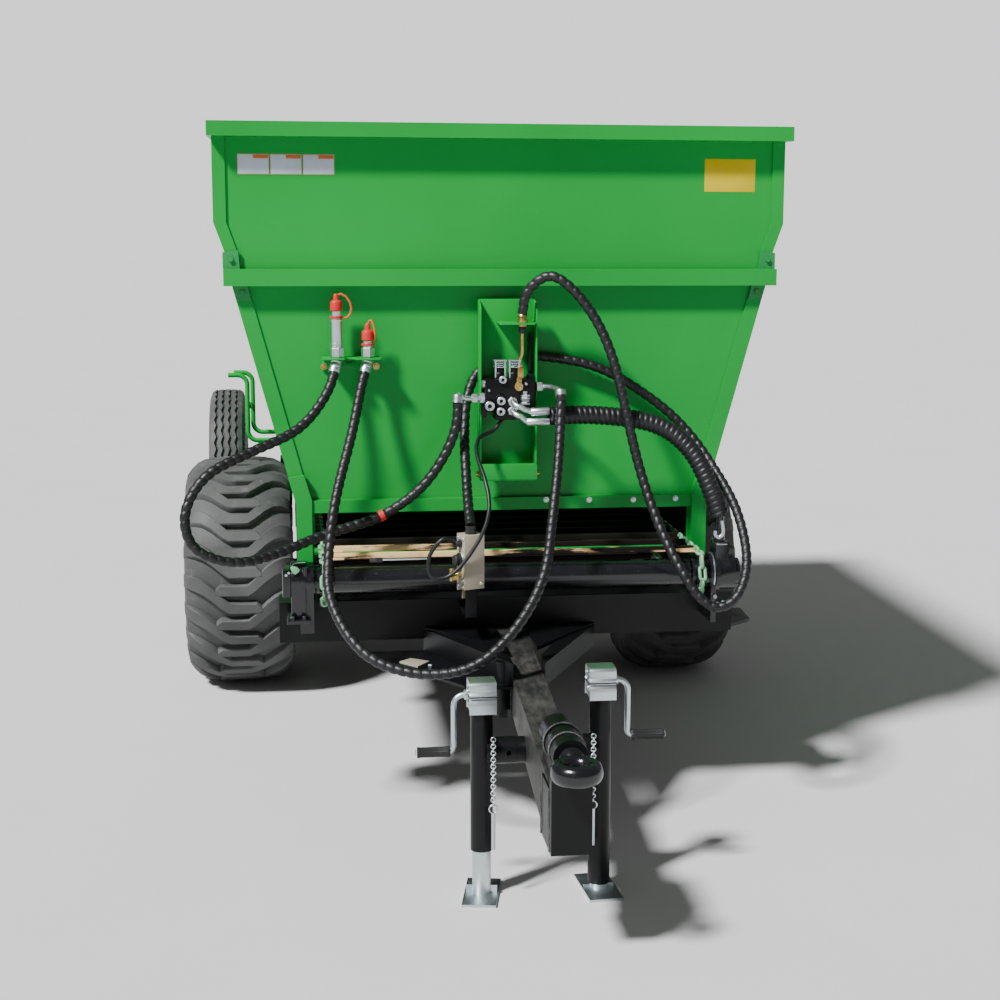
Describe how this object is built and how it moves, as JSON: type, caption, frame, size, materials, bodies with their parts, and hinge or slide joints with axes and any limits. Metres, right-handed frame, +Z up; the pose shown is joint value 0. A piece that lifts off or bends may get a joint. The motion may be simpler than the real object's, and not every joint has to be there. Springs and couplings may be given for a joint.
{
  "type": "trailed compost spreader",
  "caption": "Trailed compost spreader with a V-shaped hopper, chain-and-slat floor, spinning discs, drawbar with tow eye, side-wind jacks, flotation wheels and hydraulic hoses.",
  "frame": {"origin": "on the ground, at the middle of the machine's overall length and width", "axes": "+X to the machine's right as seen from the drawbar looking at the hopper, +Y from the tow eye towards the spreading discs, +Z up"},
  "size_m": [2.101, 4.467, 2.076],
  "materials": {
    "frame_black": "gloss black paint",
    "eye_steel": "worn forged steel",
    "zinc": "bright zinc plate",
    "grip_plastic": "black plastic",
    "tyre": "black rubber",
    "rim_paint": "black paint",
    "body_green": "gloss green powder coat",
    "bracket_green": "green over zinc",
    "slat_tan": "tan primer on steel slats",
    "brass": "dull brass",
    "cap_red": "red rubber",
    "box_beige": "beige-grey powder coat",
    "hose_rubber": "black spiral guard",
    "label_pale": "pale label sheet, left bare",
    "label_orange": "orange heading block, left bare",
    "label_yellow": "yellow label sheet, left bare",
    "strap_orange": "orange rubber strap",
    "chain_green": "worn pale green paint on chain",
    "weld_grey": "painted-over weld bead"
  },
  "bodies": {
    "chassis": {"crossbeam": "frame_black", "chassis_rails": "frame_black", "drawbar": "frame_black", "hitch_head": "frame_black", "eye_housing": "frame_black", "braces": "frame_black", "jack_spigot": "frame_black", "axle": "frame_black", "spare_rim": "rim_paint", "spare_tyre": "tyre", "spare_carrier": "frame_black", "hopper_shell": "body_green", "hopper_extension": "body_green", "band_rail": "body_green", "corner_brackets": "bracket_green", "hopper_ribs": "body_green", "side_hoops": "body_green", "floor_chains": "chain_green", "floor_slats": "slat_tan", "conveyor_bearings": "frame_black", "conveyor_motor": "frame_black", "valve_bracket": "body_green", "valve_block": "frame_black", "valve_fittings": "zinc", "coupler_holder": "body_green", "coupler_supply": "zinc", "coupler_return": "zinc", "control_box": "box_beige", "disc_frame": "frame_black", "hose_supply": "hose_rubber", "hose_return": "hose_rubber", "hose_remote": "hose_rubber", "hose_motor": "hose_rubber", "box_wires": "hose_rubber"},
    "tow_eye": {"tow_eye": "eye_steel"},
    "jack_left": {"jack_tube_left": "frame_black", "jack_head_left": "zinc", "jack_pin_left": "zinc"},
    "jack_right": {"jack_tube_right": "frame_black", "jack_head_right": "zinc", "jack_pin_right": "zinc"},
    "leg_left": {"jack_leg_left": "zinc"},
    "leg_right": {"jack_leg_right": "zinc"},
    "crank_left": {"jack_crank_left": "zinc"},
    "crank_right": {"jack_crank_right": "zinc"},
    "grip_left": {"crank_grip_left": "grip_plastic"},
    "grip_right": {"crank_grip_right": "grip_plastic"},
    "wheel_left": {"rim_left": "rim_paint", "tyre_left": "tyre"},
    "wheel_right": {"rim_right": "rim_paint", "tyre_right": "tyre"},
    "front_roller": {"front_roller": "frame_black"},
    "rear_roller": {"rear_roller": "frame_black"},
    "valve_rod": {"valve_rod": "brass"},
    "cap_supply": {"cap_supply": "cap_red"},
    "cap_return": {"cap_return": "cap_red"},
    "box_knob": {"box_knob": "grip_plastic"},
    "rear_gate": {"rear_gate": "body_green"},
    "disc_left": {"disc_left": "frame_black"},
    "disc_right": {"disc_right": "frame_black"}
  },
  "joints": [
    {"name": "eye_swivel", "type": "hinge", "parent": "chassis", "child": "tow_eye", "pos_m": [0, -2, 0.535], "axis": [0, 1, 0], "continuous": true},
    {"name": "jack_left_swing", "type": "hinge", "parent": "chassis", "child": "jack_left", "pos_m": [-0.16, -1.5965, 0.403], "axis": [-1, 0, 0], "range_deg": [0, 90]},
    {"name": "leg_left_slide", "type": "slide", "parent": "jack_left", "child": "leg_left", "axis": [0, 0, 1], "range_m": [-0.16, 0.095]},
    {"name": "crank_left_turn", "type": "hinge", "parent": "jack_left", "child": "crank_left", "pos_m": [-0.2, -1.5965, 0.559], "axis": [1, 0, 0], "range_deg": [-5760, 3420]},
    {"name": "grip_left_turn", "type": "hinge", "parent": "crank_left", "child": "grip_left", "pos_m": [-0.28, -1.5965, 0.404], "axis": [1, 0, 0], "continuous": true},
    {"name": "jack_right_swing", "type": "hinge", "parent": "chassis", "child": "jack_right", "pos_m": [0.16, -1.5965, 0.403], "axis": [-1, 0, 0], "range_deg": [0, 90]},
    {"name": "leg_right_slide", "type": "slide", "parent": "jack_right", "child": "leg_right", "axis": [0, 0, 1], "range_m": [-0.3, 0.005]},
    {"name": "crank_right_turn", "type": "hinge", "parent": "jack_right", "child": "crank_right", "pos_m": [0.2, -1.5965, 0.587], "axis": [1, 0, 0], "range_deg": [-10800, 180]},
    {"name": "grip_right_turn", "type": "hinge", "parent": "crank_right", "child": "grip_right", "pos_m": [0.28, -1.5965, 0.432], "axis": [1, 0, 0], "continuous": true},
    {"name": "wheel_left_turn", "type": "hinge", "parent": "chassis", "child": "wheel_left", "pos_m": [-0.8485, 0.7365, 0.437], "axis": [1, 0, 0], "continuous": true},
    {"name": "wheel_right_turn", "type": "hinge", "parent": "chassis", "child": "wheel_right", "pos_m": [0.8485, 0.7365, 0.437], "axis": [1, 0, 0], "continuous": true},
    {"name": "front_roller_turn", "type": "hinge", "parent": "chassis", "child": "front_roller", "pos_m": [0, -1.0165, 0.752], "axis": [1, 0, 0], "continuous": true},
    {"name": "rear_roller_turn", "type": "hinge", "parent": "chassis", "child": "rear_roller", "pos_m": [0, 1.6835, 0.752], "axis": [1, 0, 0], "continuous": true},
    {"name": "valve_rod_slide", "type": "slide", "parent": "chassis", "child": "valve_rod", "axis": [0, 0, 1], "range_m": [-0.006, 0.006]},
    {"name": "cap_supply_pull", "type": "slide", "parent": "chassis", "child": "cap_supply", "axis": [0, 0, 1], "range_m": [0, 0.02]},
    {"name": "cap_return_pull", "type": "slide", "parent": "chassis", "child": "cap_return", "axis": [0, 0, 1], "range_m": [0, 0.02]},
    {"name": "box_knob_turn", "type": "hinge", "parent": "chassis", "child": "box_knob", "pos_m": [-0.1795, -1.1519, 0.832], "axis": [0.9397, 0.342, 0], "range_deg": [-135, 135]},
    {"name": "rear_gate_lift", "type": "slide", "parent": "chassis", "child": "rear_gate", "axis": [0, 0, 1], "range_m": [0, 0.23]},
    {"name": "disc_left_spin", "type": "hinge", "parent": "chassis", "child": "disc_left", "pos_m": [-0.29, 1.9635, 0.575], "axis": [0, 0, 1], "continuous": true},
    {"name": "disc_right_spin", "type": "hinge", "parent": "chassis", "child": "disc_right", "pos_m": [0.29, 1.9635, 0.575], "axis": [0, 0, 1], "continuous": true}
  ],
  "couplings": [
    {"joint": "leg_left_slide", "follows": "crank_left_turn", "m_per_rad": 0.0015915},
    {"joint": "leg_right_slide", "follows": "crank_right_turn", "m_per_rad": 0.0015915},
    {"joint": "rear_roller_turn", "follows": "front_roller_turn", "ratio": 1},
    {"joint": "disc_right_spin", "follows": "disc_left_spin", "ratio": -1}
  ]
}
